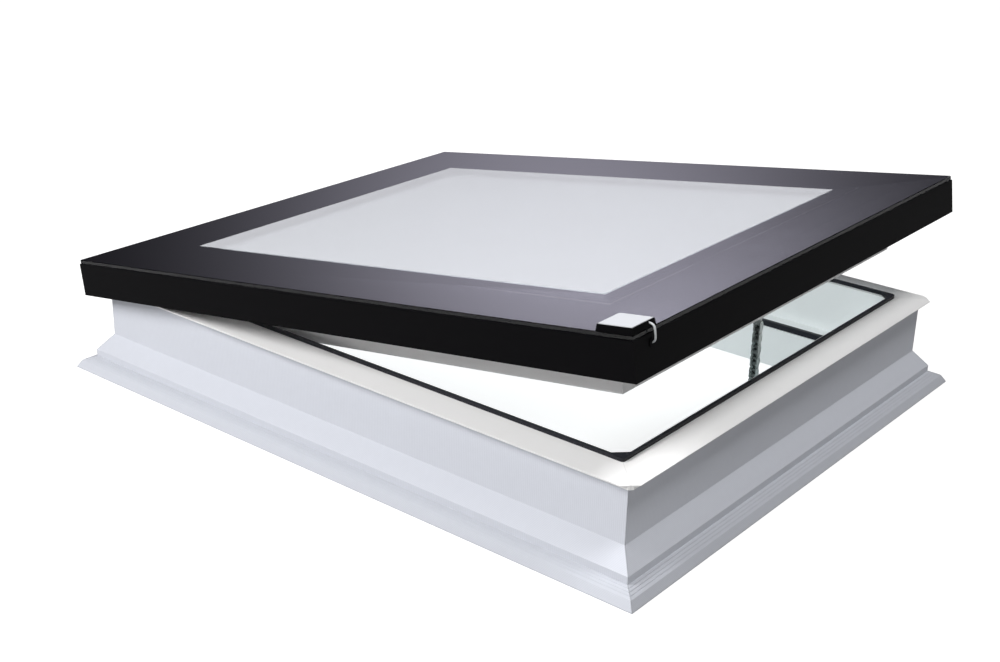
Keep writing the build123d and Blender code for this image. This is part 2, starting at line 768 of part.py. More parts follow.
def chain_link(pin, next_pin, wide):
    """One push-chain link: two plates with straight backs, bridged or pinned to each other."""
    pin_hole = (chain_pin_radius + running) / math.cos(math.pi / pin_sides)
    near = outer_plate_in if wide else inner_plate_in
    far = outer_plate_out if wide else inner_plate_out
    with BuildSketch() as plate:
        with Locations((0, 0), (chain_pitch, 0)):
            RegularPolygon(link_radius, link_sides)
        with Locations((chain_pitch / 2, 0)):
            Rectangle(chain_pitch, 2 * link_waist)
        with Locations((chain_pitch / 2, link_back / 2)):
            Rectangle(chain_pitch + 2 * link_radius - running, link_back)
        if not wide:
            with Locations((0, 0), (chain_pitch, 0)):
                RegularPolygon(pin_hole, pin_sides, mode=Mode.SUBTRACT)
    with BuildPart() as link:
        for y in (-1, 1):
            with BuildSketch(link_plane(pin, next_pin, chain_y + y * near)):
                add(plate.sketch)
            extrude(amount=-y * (far - near))
        if wide:
            with BuildSketch(link_plane(pin, next_pin, chain_y)):
                with Locations((0, 0), (chain_pitch, 0)):
                    RegularPolygon(chain_pin_radius, pin_sides)
            extrude(amount=far, both=True)
        else:
            with BuildSketch(link_plane(pin, next_pin, chain_y)):
                with Locations((chain_pitch / 2, link_back - 1)):
                    Rectangle(chain_pitch + 2 * link_radius - running, 2)
            extrude(amount=near, both=True)
    return link.part


# Chain pins from the head down to the sprocket, then round it and into the magazine
chain_pins = [(0.0, chain_top - i * chain_pitch) for i in range(links_to_sprocket + 1)]
for i in (1, 2):
    angle = -i * 2 * math.pi / sprocket_teeth
    chain_pins.append(
        (
            sprocket_x + sprocket_radius * math.cos(angle),
            sprocket_z + sprocket_radius * math.sin(angle),
        )
    )
chain_pins.append((chain_pins[-1][0] - chain_pitch, chain_pins[-1][1]))
with BuildPart() as lift_chain:
    for i in range(len(chain_pins) - 1):
        add(chain_link(chain_pins[i], chain_pins[i + 1], i % 2 == 0))
save(lift_chain, "lift_chain")

# Sprocket and its shaft
with BuildPart() as drive_sprocket:
    with BuildSketch(Plane(origin=(sprocket_x, chain_y, sprocket_z), x_dir=(1, 0, 0), z_dir=(0, -1, 0))):
        RegularPolygon(sprocket_radius + sprocket_tip, sprocket_sides)
        with PolarLocations(sprocket_radius, sprocket_teeth):
            RegularPolygon(chain_pin_radius + 0.8, link_sides, mode=Mode.SUBTRACT)
    extrude(amount=sprocket_width / 2, both=True)
    with BuildSketch(Plane(origin=(sprocket_x, chain_y, sprocket_z), x_dir=(1, 0, 0), z_dir=(0, -1, 0))):
        RegularPolygon(shaft_radius, round_sides)
    extrude(amount=housing_width / 2 - housing_wall - 4, both=True)
save(drive_sprocket, "drive_sprocket")

# Drive housing, gearbox, motor, magazine and end caps in the front frame
drive_mid = (housing_low + housing_high) / 2
drive_plane = Plane(origin=(0, chain_y, drive_mid), x_dir=(0, 1, 0), z_dir=(1, 0, 0))
housing_height = housing_high - housing_low
slot = guide_bore + 2
with BuildSketch() as housing_outline:
    Rectangle(housing_width, housing_height)
    chamfer(housing_outline.vertices(), 2)
with BuildPart() as drive_housing:
    with BuildSketch(drive_plane):
        add(housing_outline.sketch)
        Rectangle(
            housing_width - 2 * housing_wall, housing_height - 2 * housing_wall, mode=Mode.SUBTRACT
        )
    extrude(amount=housing_length / 2, both=True)
    with BuildSketch(Plane.XY.offset(housing_high)):
        with Locations((0, chain_y)):
            Rectangle(slot, slot)
    extrude(amount=-housing_wall, mode=Mode.SUBTRACT)
save(drive_housing, "drive_housing")

cap_core_width = housing_width - 2 * (housing_wall + fit)
cap_core_height = housing_height - 2 * (housing_wall + fit)
with BuildPart() as drive_end_caps:
    for x in (-1, 1):
        cap_plane = Plane(
            origin=(x * housing_length / 2, chain_y, drive_mid), x_dir=(0, 1, 0), z_dir=(x, 0, 0)
        )
        with BuildSketch(cap_plane):
            add(housing_outline.sketch)
        extrude(amount=end_cap_thick)
        with BuildSketch(cap_plane):
            Rectangle(cap_core_width - 4, cap_core_height - 4)
        extrude(amount=-2 * end_cap_thick)
save(drive_end_caps, "drive_end_caps")

inner_half = housing_width / 2 - housing_wall - fit
gear_low = housing_low + housing_wall + fit
gear_high = housing_high - housing_wall - fit
cheek_clear = outer_plate_out + 1
gear_front_x = -34.0
gear_flange_x = 14.0
gear_rear_x = 32.0
with BuildPart() as drive_gearbox:
    with BuildSketch(Plane.XY.offset(gear_low)):
        with Locations(((gear_front_x + gear_rear_x) / 2, chain_y + (cheek_clear + inner_half) / 2)):
            Rectangle(gear_rear_x - gear_front_x, inner_half - cheek_clear)
        with Locations(((gear_flange_x + gear_rear_x) / 2, chain_y)):
            Rectangle(gear_rear_x - gear_flange_x, 2 * inner_half)
    extrude(amount=gear_high - gear_low)
    chamfer(drive_gearbox.edges().filter_by(Axis.X), 1.0)
    with BuildSketch(Plane(origin=(sprocket_x, chain_y, sprocket_z), z_dir=(0, 1, 0))):
        RegularPolygon(shaft_radius + running, round_sides, major_radius=False)
    extrude(amount=housing_width, mode=Mode.SUBTRACT)
save(drive_gearbox, "drive_gearbox")

with BuildPart() as bearing_plate:
    with BuildSketch(Plane.XZ.offset(-(chain_y - cheek_clear))):
        with Locations(((gear_flange_x + gear_front_x) / 2, (gear_low + gear_high) / 2)):
            Rectangle(gear_flange_x - gear_front_x, gear_high - gear_low)
        with Locations((sprocket_x, sprocket_z)):
            RegularPolygon(
                    shaft_radius + running, round_sides, major_radius=False, mode=Mode.SUBTRACT
                )
    extrude(amount=3)
save(bearing_plate, "bearing_plate")

with BuildPart() as drive_motor:
    with BuildSketch(Plane(origin=(gear_rear_x, chain_y, drive_mid), z_dir=(1, 0, 0))):
        RegularPolygon(motor_radius, round_sides)
    extrude(amount=motor_length)
    chamfer(drive_motor.faces().sort_by(Axis.X)[-1].edges(), 2)
    with BuildSketch(Plane(origin=(gear_rear_x + motor_length, chain_y, drive_mid), z_dir=(1, 0, 0))):
        RegularPolygon(motor_radius / 3, round_sides)
    extrude(amount=5)
save(drive_motor, "drive_motor")

magazine_low = sprocket_z - sprocket_radius - link_back - 1
magazine_half = outer_plate_out + 0.6
magazine_height = 16.0
with BuildPart() as chain_magazine:
    with BuildSketch(Plane(origin=(gear_front_x, chain_y, magazine_low), x_dir=(0, 1, 0), z_dir=(1, 0, 0))):
        with Locations((0, magazine_height / 2 - 1.2)):
            Rectangle(2 * magazine_half + 2.4, magazine_height)
        with Locations((0, magazine_height / 2)):
            Rectangle(2 * magazine_half, magazine_height, mode=Mode.SUBTRACT)
    extrude(amount=-(housing_length / 2 + gear_front_x - 2 * end_cap_thick - fit))
save(chain_magazine, "chain_magazine")

# Saddles and screws that hold the drive to the floor of its chamber
saddle_outer = saddle_screw_y - screw_head_radius - 1
saddle_inner = chain_y + housing_width / 2
with BuildPart() as drive_saddles:
    saddle_plane = Plane(origin=(0, 0, chamber_low), x_dir=(0, 1, 0), z_dir=(1, 0, 0))
    for x in (-saddle_spread, saddle_spread):
        with BuildSketch(saddle_plane.offset(x)):
            with BuildLine():
                Polyline(
                    (saddle_outer, 0),
                    (saddle_inner, 0),
                    (saddle_inner, housing_low - chamber_low),
                    (chain_y - housing_width / 2, housing_low - chamber_low),
                    (chain_y - housing_width / 2, housing_low + saddle_ear_height - chamber_low),
                    (chain_y - housing_width / 2 - saddle_ear, housing_low + saddle_ear_height - chamber_low),
                    (chain_y - housing_width / 2 - saddle_ear, housing_low - chamber_low),
                    (saddle_outer, housing_low - chamber_low),
                    close=True,
                )
            make_face()
        extrude(amount=saddle_width / 2, both=True)
    with BuildSketch(Plane.XY.offset(chamber_low)):
        with Locations((-saddle_spread, saddle_screw_y), (saddle_spread, saddle_screw_y)):
            RegularPolygon(screw_hole_radius, screw_sides)
    extrude(amount=housing_low - chamber_low, mode=Mode.SUBTRACT)
save(drive_saddles, "drive_saddles")
with BuildPart() as saddle_screws:
    with BuildSketch(Plane.XY.offset(housing_low)):
        with Locations((-saddle_spread, saddle_screw_y), (saddle_spread, saddle_screw_y)):
            RegularPolygon(screw_head_radius, screw_sides)
    extrude(amount=screw_head_height)
    with BuildSketch(Plane.XY.offset(housing_low)):
        with Locations((-saddle_spread, saddle_screw_y), (saddle_spread, saddle_screw_y)):
            RegularPolygon(screw_radius, screw_sides)
    extrude(amount=-(housing_low - 1))
save(saddle_screws, "saddle_screws")

# Chain guide through the ledge, down to the housing
with BuildPart() as chain_guide:
    with BuildSketch(Plane.XY.offset(ledge_height)):
        with Locations((0, chain_y)):
            Rectangle(guide_flange, guide_flange)
    extrude(amount=guide_flange_thick)
    chamfer(chain_guide.faces().sort_by(Axis.Z)[-1].edges(), 0.8)
    with BuildSketch(Plane.XY.offset(housing_high)):
        with Locations((0, chain_y)):
            Rectangle(guide_outer, guide_outer)
    extrude(amount=ledge_height - housing_high)
    with BuildSketch(Plane.XY.offset(housing_high)):
        with Locations((0, chain_y)):
            Rectangle(guide_bore, guide_bore)
    extrude(amount=ledge_height, mode=Mode.SUBTRACT)
save(chain_guide, "chain_guide")

# Blind rubber inlet for a supply cable, in the lining under the ledge
with BuildPart() as cable_inlet:
    with BuildSketch(Plane(origin=(inlet_x, inlet_y, inlet_height), z_dir=(0, 1, 0))):
        RegularPolygon(inlet_radius + inlet_collar, round_sides)
    extrude(amount=2)
    with BuildSketch(Plane(origin=(inlet_x, inlet_y, inlet_height), z_dir=(0, 1, 0))):
        RegularPolygon(inlet_radius - fit, round_sides)
    extrude(amount=-frame_skin)
    with BuildSketch(Plane(origin=(inlet_x, inlet_y - frame_skin, inlet_height), z_dir=(0, 1, 0))):
        RegularPolygon(inlet_radius - inlet_collar, round_sides, major_radius=False)
    extrude(amount=frame_skin + 1, mode=Mode.SUBTRACT)
save(cable_inlet, "cable_inlet")

# Rain sensor on the corner of the outer pane
sensor_low = sash_bottom + pane_top
sensor_x = -sash_width / 2 + sensor_from_side + sensor_breadth / 2
sensor_y = front_face_y + sensor_from_front + sensor_length / 2
sensor_top_x = sensor_x + (sensor_side_lean - sensor_lean) / 2
sensor_top_length = sensor_length - 2 * sensor_lean
sensor_top_breadth = sensor_breadth - sensor_lean - sensor_side_lean
lead_exit_x = -sash_width / 2 + lead_exit_side
lead_exit_z = sensor_low + lead_exit_height
with BuildPart() as sensor_housing:
    with BuildSketch(on_sash(Plane.XY.offset(sensor_low))):
        with Locations((sensor_x, sensor_y)):
            Rectangle(sensor_breadth, sensor_length)
    with BuildSketch(on_sash(Plane.XY.offset(sensor_low + sensor_height))):
        with Locations((sensor_top_x, sensor_y)):
            Rectangle(sensor_top_breadth, sensor_top_length)
    loft()
    with BuildSketch(
        on_sash(Plane(origin=(lead_exit_x, front_face_y - 1, lead_exit_z), z_dir=(0, 1, 0)))
    ):
        RegularPolygon(lead_radius + lead_bore_gap, round_sides, major_radius=False)
    extrude(amount=lead_bore_depth + 1, mode=Mode.SUBTRACT)
save(sensor_housing, "sensor_housing")
with BuildPart() as sensor_plate:
    with BuildSketch(on_sash(Plane.XY.offset(sensor_low + sensor_height))):
        with Locations((sensor_top_x, sensor_y)):
            Rectangle(sensor_top_breadth - 2 * sensor_rim, sensor_top_length - 2 * sensor_rim)
    extrude(amount=sensor_plate_thick)
save(sensor_plate, "sensor_plate")

# White lead from the sensor into the cover: chosen points as side, outward and height on the sash
lead_route = [
    (lead_exit_side, -5, lead_exit_z - sash_bottom),
    (lead_exit_side, lead_stand_off, lead_exit_z - sash_bottom),
    (37.9, lead_stand_off + 0.6, 51.5),
    (lead_hole_side, lead_stand_off, lead_hole_height),
    (lead_hole_side, -3, lead_hole_height),
]
lead_points = []
for across, out, up in lead_route:
    spot = Plane(origin=(across - sash_width / 2, front_face_y - out, sash_bottom + up))
    lead_points.append(on_sash(spot).origin)
lead_radii = []
for before, here, after in zip(lead_points, lead_points[1:], lead_points[2:]):
    turn = math.radians((here - before).get_angle(after - here))
    shorter = min((here - before).length, (after - here).length)
    lead_radii.append(0.45 * shorter / math.tan(turn / 2))
print("lead radii", [round(radius, 1) for radius in lead_radii])
with BuildPart() as sensor_lead:
    with BuildLine() as lead_path:
        FilletPolyline(*lead_points, radius=lead_radii)
    with BuildSketch(Plane(origin=lead_path.line @ 0, z_dir=lead_path.line % 0)):
        RegularPolygon(lead_radius, lead_sides)
    sweep()
save(sensor_lead, "sensor_lead")
lead_section = lead_sides / 2 * lead_radius**2 * math.sin(2 * math.pi / lead_sides)
lead_length = lead_path.wire().length
print("lead volume share", round(sensor_lead.part.volume / (lead_section * lead_length), 4))

with BuildPart() as lead_grommet:
    grommet_plane = on_sash(Plane(origin=(lead_hole_x, front_face_y, lead_hole_z), z_dir=(0, 1, 0)))
    with BuildSketch(grommet_plane):
        RegularPolygon(grommet_flange, round_sides)
    extrude(amount=-1.2)
    with BuildSketch(grommet_plane):
        RegularPolygon(grommet_radius - running, round_sides)
    extrude(amount=cover_wall + 1)
    with BuildSketch(grommet_plane.offset(-2)):
        RegularPolygon(lead_radius + lead_bore_gap, round_sides, major_radius=False)
    extrude(amount=cover_wall + 5, mode=Mode.SUBTRACT)
save(lead_grommet, "lead_grommet")
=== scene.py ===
# %% [markdown]
# This lesson dresses a flat-roof skylight in Blender. The CAD model gives every solid in its true
# place, so the work here is light, finishes and the few pieces that need more shape than their solid
# has: the lead of the rain sensor, the coating on the glass and the lifting chain.

# %% The frame from the CAD model
import json
import math
import bmesh
import bpy
from mathutils import Matrix, Vector


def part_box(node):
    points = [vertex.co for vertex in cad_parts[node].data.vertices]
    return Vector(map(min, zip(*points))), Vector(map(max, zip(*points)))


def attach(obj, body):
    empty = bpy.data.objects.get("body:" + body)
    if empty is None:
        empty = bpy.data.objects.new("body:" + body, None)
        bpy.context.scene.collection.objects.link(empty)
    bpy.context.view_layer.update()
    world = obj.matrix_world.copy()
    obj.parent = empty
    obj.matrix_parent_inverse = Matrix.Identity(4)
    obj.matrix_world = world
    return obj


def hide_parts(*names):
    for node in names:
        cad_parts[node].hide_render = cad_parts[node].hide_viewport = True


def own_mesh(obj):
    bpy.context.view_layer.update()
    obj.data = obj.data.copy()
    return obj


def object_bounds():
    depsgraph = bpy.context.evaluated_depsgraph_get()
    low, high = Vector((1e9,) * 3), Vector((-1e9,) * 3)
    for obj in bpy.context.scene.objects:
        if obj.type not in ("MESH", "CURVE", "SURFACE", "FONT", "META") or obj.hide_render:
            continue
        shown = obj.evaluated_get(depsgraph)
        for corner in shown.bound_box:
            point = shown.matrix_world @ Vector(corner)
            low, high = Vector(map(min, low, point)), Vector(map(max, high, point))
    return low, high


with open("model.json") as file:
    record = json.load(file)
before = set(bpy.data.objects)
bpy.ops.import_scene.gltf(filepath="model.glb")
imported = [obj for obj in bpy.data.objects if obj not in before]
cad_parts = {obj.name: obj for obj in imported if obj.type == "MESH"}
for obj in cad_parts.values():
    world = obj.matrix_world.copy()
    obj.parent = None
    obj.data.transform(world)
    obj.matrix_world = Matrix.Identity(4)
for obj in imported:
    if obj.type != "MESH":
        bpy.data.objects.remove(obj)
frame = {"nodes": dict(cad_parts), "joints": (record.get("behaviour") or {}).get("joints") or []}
nodes = frame["nodes"]
cad_box = [list(corner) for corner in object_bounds()]
mm = 0.001
bpy.ops.object.select_all(action="DESELECT")
print("solids loaded:", len(nodes))

# %% [markdown]
# The photograph was taken with a short telephoto lens from the front left, a little above the pane. The
# camera's place was worked out from the straight edges of the upstand and the sash, so it is set once
# and stays. The turn, the tilt and the roll are kept apart, because each can then be read as an angle.

# %% The camera
camera_place = Vector((-1.74523, -1.36544, 0.99356))
camera_turn = math.radians(-51.338)
camera_tilt = math.radians(90 - 22.493)
camera_roll = math.radians(1.425)
sensor_width = 36
lens_length = 53.39
bpy.ops.object.camera_add(location=camera_place)
camera = bpy.context.object
camera.rotation_euler = (
    Matrix.Rotation(camera_turn, 3, "Z")
    @ Matrix.Rotation(camera_tilt, 3, "X")
    @ Matrix.Rotation(camera_roll, 3, "Z")
).to_euler()
camera.data.sensor_width = sensor_width
camera.data.lens = lens_length
bpy.context.scene.camera = camera
bpy.context.scene.view_settings.view_transform = "Standard"
print("camera height:", round(camera_place.z, 3))

# %% [markdown]
# A shader is a tree of small nodes that hand values to each other. Built by hand, each one is added and
# wired in the shader editor. In a script a few helpers do that, and then a shader reads like a sum.


# %% Helpers for shader nodes
def add_node(tree, kind, **values):
    """Adds a shader node and sets what is given, by input name or by property."""
    node = tree.nodes.new(kind)
    for name, value in values.items():
        if name in node.inputs:
            node.inputs[name].default_value = value
        else:
            setattr(node, name, value)
    return node


def feed(tree, value, socket):
    """Links another node's output to an input, or sets the input to a plain value."""
    if isinstance(value, bpy.types.NodeSocket):
        tree.links.new(value, socket)
    elif value is not None:
        socket.default_value = value


def math_node(tree, operation, first, second=None):
    """One step of arithmetic on two sockets or numbers."""
    node = add_node(tree, "ShaderNodeMath", operation=operation)
    feed(tree, first, node.inputs[0])
    feed(tree, second, node.inputs[1])
    return node.outputs[0]


def mix(tree, factor, first, second, kind="FLOAT"):
    """Goes from the first to the second number, or colour if the kind is RGBA, as the factor grows."""
    node = add_node(tree, "ShaderNodeMix", data_type=kind)
    first_input, output = {"FLOAT": (2, 0), "RGBA": (6, 2)}[kind]
    feed(tree, factor, node.inputs[0])
    feed(tree, first, node.inputs[first_input])
    feed(tree, second, node.inputs[first_input + 1])
    return node.outputs[output]


def scale_color(tree, color, factor):
    """Makes a colour lighter or darker by a factor."""
    node = add_node(tree, "ShaderNodeVectorMath", operation="SCALE")
    feed(tree, color, node.inputs[0])
    feed(tree, factor, node.inputs["Scale"])
    return node.outputs[0]


def axes(tree, vector):
    """The parts X, Y and Z of a vector."""
    node = add_node(tree, "ShaderNodeSeparateXYZ")
    feed(tree, vector, node.inputs[0])
    return node.outputs


def coordinates(tree, kind="Object"):
    """Where a point lies, in metres from the skylight's origin, or another kind of coordinates."""
    return add_node(tree, "ShaderNodeTexCoord").outputs[kind]


def seen_ray(tree):
    """1 for what the eye sees, directly or through glass, and 0 for light on the object."""
    rays = add_node(tree, "ShaderNodeLightPath").outputs
    return math_node(tree, "MAXIMUM", rays["Is Camera Ray"], rays["Is Transmission Ray"])


# %% [markdown]
# A product studio is a white sweep with large soft lamps. The white that the camera sees is only for
# the camera, so the object itself is lit at a plain level. What the glass mirrors is a soft white panel
# behind the skylight, which fades out to both sides and towards the floor. It could be a lit board in
# the scene, but that would light the walls too. In the world it is kept for mirrored rays alone.

# %% The world: dim for the object, white for the eye, a panel for the gloss
fill_level = 0.18
seen_level = 1.0
panel_heading = math.radians(40.0)
panel_spread = math.radians(7.0)
panel_foot = math.radians(-2.0)
panel_full = math.radians(12.0)
panel_level = 1.2
panel_color = (1.0, 0.97, 1.17, 1.0)
room_level = 0.004
white = (1.0, 1.0, 1.0, 1.0)
world = bpy.data.worlds.new("studio")
bpy.context.scene.world = world
world.use_nodes = True
tree = world.node_tree
tree.nodes.clear()
direction = axes(tree, coordinates(tree, "Generated"))
heading = math_node(tree, "ARCTAN2", direction["Y"], direction["X"])
off_panel = math_node(tree, "SUBTRACT", heading, panel_heading)
off_panel = math_node(tree, "DIVIDE", off_panel, panel_spread)
off_panel = math_node(tree, "MULTIPLY", off_panel, off_panel)
panel = math_node(tree, "EXPONENT", math_node(tree, "MULTIPLY", off_panel, -0.5))
steepness = math_node(tree, "ARCSINE", direction["Z"])
rise = add_node(tree, "ShaderNodeMapRange", **{"From Min": panel_foot, "From Max": panel_full})
feed(tree, steepness, rise.inputs["Value"])
panel = math_node(tree, "MULTIPLY", panel, rise.outputs[0])
panel = math_node(tree, "MULTIPLY", panel, panel_level)
panel = math_node(tree, "ADD", panel, room_level)
glossy = add_node(tree, "ShaderNodeLightPath").outputs["Is Glossy Ray"]
level = mix(tree, seen_ray(tree), fill_level, seen_level)
sky = add_node(tree, "ShaderNodeBackground")
feed(tree, mix(tree, glossy, white, panel_color, "RGBA"), sky.inputs["Color"])
feed(tree, mix(tree, glossy, level, panel), sky.inputs["Strength"])
world_output = add_node(tree, "ShaderNodeOutputWorld")
feed(tree, sky.outputs[0], world_output.inputs[0])
print("world nodes:", len(tree.nodes))

# %% [markdown]
# The key lamp stands to the left and a little behind, so the left wall is bright and the right wall
# falls into a cool half shade. A second lamp hangs high in front and lights what faces up on the open
# side. Both are large and round, like a softbox, because a small lamp would draw hard shadows. They are
# hidden from mirrored rays, so the glass shows only the panel.

# %% The lamps
lamp_distance = 7.0
lamp_aim = Vector((0, 0, 0.15))


def soft_lamp(name, heading, height, level, size):
    """A round soft lamp, given by its angles as seen from the skylight and by its level on a grey."""
    heading, height = math.radians(heading), math.radians(height)
    towards = Vector((
        math.cos(heading) * math.cos(height),
        math.sin(heading) * math.cos(height),
        math.sin(height),
    ))
    bpy.ops.object.light_add(type="AREA", location=towards * lamp_distance + lamp_aim)
    lamp = bpy.context.object
    lamp.name = name
    lamp.data.shape = "DISK"
    lamp.data.size = size
    lamp.data.energy = level * (math.pi * lamp_distance) ** 2
    lamp.rotation_euler = towards.to_track_quat("Z", "Y").to_euler()
    lamp.visible_glossy = False
    lamp.visible_camera = False
    print(name, "watts:", round(lamp.data.energy))


soft_lamp("key_lamp", heading=152, height=34, level=1.05, size=3.2)
soft_lamp("high_lamp", heading=-90, height=68.5, level=0.62, size=2.4)

# %% [markdown]
# The floor of the studio is so bright that it runs into the background. More lamp light would burn out
# the walls before the floor turned white. So the floor adds its white itself, only for what the eye
# sees directly or through the glass, and keeps a faint shadow of the skylight.

# %% The floor
floor_size = 60.0
floor_drop = 0.5 * mm
floor_grey = (0.42, 0.42, 0.42, 1)
floor_roughness = 0.9
floor_glow = 0.75
bpy.ops.mesh.primitive_plane_add(size=floor_size, location=(0, 0, -floor_drop))
floor = bpy.context.object
floor.name = "studio_floor"
floor_finish = bpy.data.materials.new("studio_floor")
floor_finish.use_nodes = True
tree = floor_finish.node_tree
surface = tree.nodes["Principled BSDF"]
surface.inputs["Base Color"].default_value = floor_grey
surface.inputs["Roughness"].default_value = floor_roughness
surface.inputs["Specular IOR Level"].default_value = 0.0
surface.inputs["Emission Color"].default_value = white
glow = math_node(tree, "MULTIPLY", seen_ray(tree), floor_glow)
feed(tree, glow, surface.inputs["Emission Strength"])
floor.data.materials.append(floor_finish)
print("floor size:", floor_size, "m")

# %% [markdown]
# The upstand and the frames are plastic profiles. Such a profile is welded at its corners, the bead is
# cut flush, and a narrow strip of other gloss stays along the mitre. It could be cut into the mesh, but
# the CAD solids are left as they are. The strip lies where a point is as far from one side as from the
# other, so it is found from the place alone. It is a node group, because grey and white profiles both
# have it, each with its own width.

# %% Node group: the weld strip
half_width, half_depth = cad_box[1][:2]
strip_fade = 1.6
socket_kinds = {"f": "NodeSocketFloat", "c": "NodeSocketColor"}


def new_group(name, inputs, outputs):
    """A shader node group with named number (f) and colour (c) sockets, its inputs and its outputs."""
    group = bpy.data.node_groups.new(name, "ShaderNodeTree")
    for socket, kind, value in inputs:
        made = group.interface.new_socket(socket, in_out="INPUT", socket_type=socket_kinds[kind])
        made.default_value = value
    for socket, kind in outputs:
        group.interface.new_socket(socket, in_out="OUTPUT", socket_type=socket_kinds[kind])
    given = group.nodes.new("NodeGroupInput").outputs
    result = group.nodes.new("NodeGroupOutput").inputs
    print("node group:", name)
    return group, given, result


weld_group, given, result = new_group(
    "weld_strip",
    [("Half Width", "f", half_width), ("Half Depth", "f", half_depth), ("Strip", "f", 3.0 * mm)],
    [("Mask", "f")],
)
place = axes(weld_group, coordinates(weld_group))
off_middle_x = math_node(weld_group, "ABSOLUTE", place["X"])
off_middle_y = math_node(weld_group, "ABSOLUTE", place["Y"])
from_side = math_node(weld_group, "SUBTRACT", given["Half Width"], off_middle_x)
from_end = math_node(weld_group, "SUBTRACT", given["Half Depth"], off_middle_y)
off_mitre = math_node(weld_group, "SUBTRACT", from_side, from_end)
off_mitre = math_node(weld_group, "ABSOLUTE", off_mitre)
share = math_node(weld_group, "DIVIDE", off_mitre, given["Strip"])
strip = add_node(weld_group, "ShaderNodeClamp")
feed(weld_group, math_node(weld_group, "SUBTRACT", strip_fade, share), strip.inputs["Value"])
feed(weld_group, strip.outputs[0], result["Mask"])

# %% [markdown]
# No moulded, drawn or coated skin is quite even. Its colour and its gloss drift a little and it has a
# fine relief. One cloud noise drives all three, because on a real skin they belong together. The sizes
# are inputs, so the same group makes smooth plastic, orange peel and foam.

# %% Node group: speckle
cloud_detail = 4.0
cloud_roughness = 0.6
speckle_group, given, result = new_group(
    "speckle",
    [("Color", "c", (0.5, 0.5, 0.5, 1)), ("Depth", "f", 0.05), ("Scale", "f", 60.0),
     ("Roughness", "f", 0.4), ("Roughness Depth", "f", 0.1)],
    [("Color", "c"), ("Roughness", "f"), ("Height", "f")],
)
cloud = add_node(
    speckle_group, "ShaderNodeTexNoise", Detail=cloud_detail, Roughness=cloud_roughness
)
feed(speckle_group, coordinates(speckle_group), cloud.inputs["Vector"])
feed(speckle_group, given["Scale"], cloud.inputs["Scale"])
swing = math_node(speckle_group, "SUBTRACT", cloud.outputs["Fac"], 0.5)
dim = math_node(speckle_group, "MULTIPLY", swing, given["Depth"])
bright = math_node(speckle_group, "ADD", dim, 1.0)
feed(speckle_group, scale_color(speckle_group, given["Color"], bright), result["Color"])
matt = math_node(speckle_group, "MULTIPLY", swing, given["Roughness Depth"])
matt = math_node(speckle_group, "ADD", given["Roughness"], matt)
feed(speckle_group, matt, result["Roughness"])
feed(speckle_group, cloud.outputs["Fac"], result["Height"])

# %% [markdown]
# The saw and the rollers leave fine upright lines on a drawn profile. They are a sine wave along the
# wall. The sum of both level coordinates runs along every wall, so one wave serves all four sides.

# %% Node group: fine ribs
rib_group, given, result = new_group(
    "fine_ribs",
    [("Pitch", "f", 3.0 * mm), ("Depth", "f", 0.03)],
    [("Shade", "f")],
)
place = axes(rib_group, coordinates(rib_group))
run = math_node(rib_group, "ADD", place["X"], place["Y"])
turns = math_node(rib_group, "MULTIPLY", run, 2 * math.pi)
wave = math_node(rib_group, "SINE", math_node(rib_group, "DIVIDE", turns, given["Pitch"]))
shade = math_node(rib_group, "MULTIPLY", wave, given["Depth"])
feed(rib_group, math_node(rib_group, "ADD", shade, 1.0), result["Shade"])

# %% [markdown]
# Every finish starts in the same way: a Principled shader that takes colour, gloss and relief from the
# speckle group. The values are the finish's own, and what is special to it is laid over the colour
# later.

# %% Helpers for finishes
relief_strength = 0.3
sides = ("front", "back", "left", "right")


def start_finish(name, color, depth=0.05, scale=60.0, roughness=0.4, bump=0.2 * mm,
                 specular=0.5, metallic=0.0):
    """A material whose Principled shader takes colour, gloss and relief from the speckle group."""
    finish = bpy.data.materials.new(name)
    finish.use_nodes = True
    tree = finish.node_tree
    surface = tree.nodes["Principled BSDF"]
    surface.inputs["Specular IOR Level"].default_value = specular
    surface.inputs["Metallic"].default_value = metallic
    speckle = add_node(
        tree, "ShaderNodeGroup", name="speckle", node_tree=speckle_group,
        Color=(*color, 1), Depth=depth, Scale=scale, Roughness=roughness,
    )
    relief = add_node(tree, "ShaderNodeBump", Strength=relief_strength, Distance=bump)
    feed(tree, speckle.outputs["Color"], surface.inputs["Base Color"])
    feed(tree, speckle.outputs["Roughness"], surface.inputs["Roughness"])
    feed(tree, speckle.outputs["Height"], relief.inputs["Height"])
    feed(tree, relief.outputs[0], surface.inputs["Normal"])
    return finish


def open_finish(finish):
    """The node tree of a finish, with its Principled shader and its speckle."""
    tree = finish.node_tree
    return tree, tree.nodes["Principled BSDF"], tree.nodes["speckle"]


def lay_weld(tree, color, strip, line_color):
    """Lays the weld strip over a colour and gives the new colour."""
    weld = add_node(tree, "ShaderNodeGroup", node_tree=weld_group, Strip=strip)
    return mix(tree, weld.outputs["Mask"], color, (*line_color, 1), "RGBA")


def paint(finish, *names):
    """Gives the finish to CAD nodes by name."""
    for name in names:
        node = nodes[name]
        node.data.materials.clear()
        node.data.materials.append(finish)
    print(finish.name, "on solids:", len(names))
